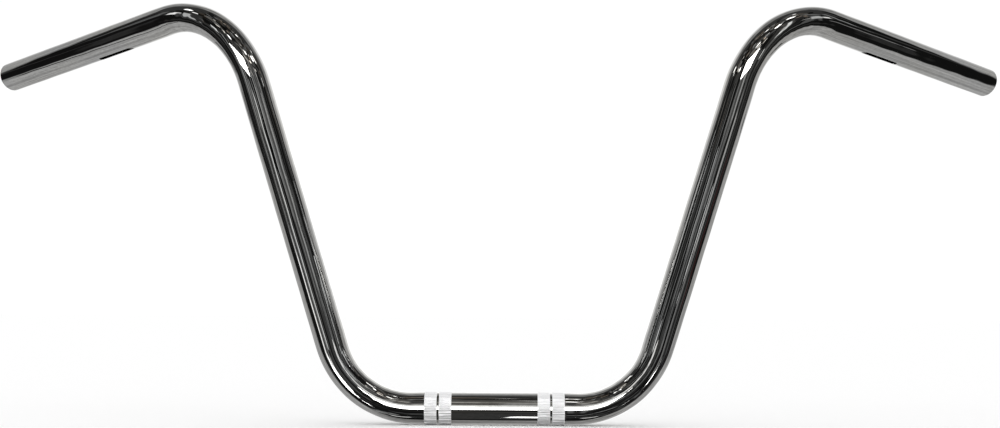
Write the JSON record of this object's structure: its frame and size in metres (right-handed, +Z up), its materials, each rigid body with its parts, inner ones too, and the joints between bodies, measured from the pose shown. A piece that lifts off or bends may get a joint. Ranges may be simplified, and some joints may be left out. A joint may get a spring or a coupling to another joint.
{
  "type": "motorcycle handlebar",
  "caption": "High-rise handlebar: one bent, chrome-plated steel tube with knurled riser seats and swept-back grip ends slotted for wiring.",
  "frame": {"origin": "middle of the clamp section, on the tube's axis", "axes": "+X along the clamp section, to the right in the picture; +Y back towards the rider; +Z up. The uprights lie in the XZ plane."},
  "size_m": [0.916, 0.1781, 0.345],
  "materials": {
    "chrome_plate": "bright decorative chrome plate on polished steel tube",
    "knurled_chrome": "chrome plate over straight knurling"
  },
  "bodies": {
    "root": {"clamp_centre": "chrome_plate", "knurl_left": "knurled_chrome", "knurl_right": "knurled_chrome", "lower_bend_left": "chrome_plate", "lower_bend_right": "chrome_plate", "upright_left": "chrome_plate", "upright_right": "chrome_plate", "upper_bend_left": "chrome_plate", "upper_bend_right": "chrome_plate", "control_seat_left": "chrome_plate", "control_seat_right": "chrome_plate", "grip_seat_left": "chrome_plate", "grip_seat_right": "chrome_plate"}
  },
  "joints": []
}
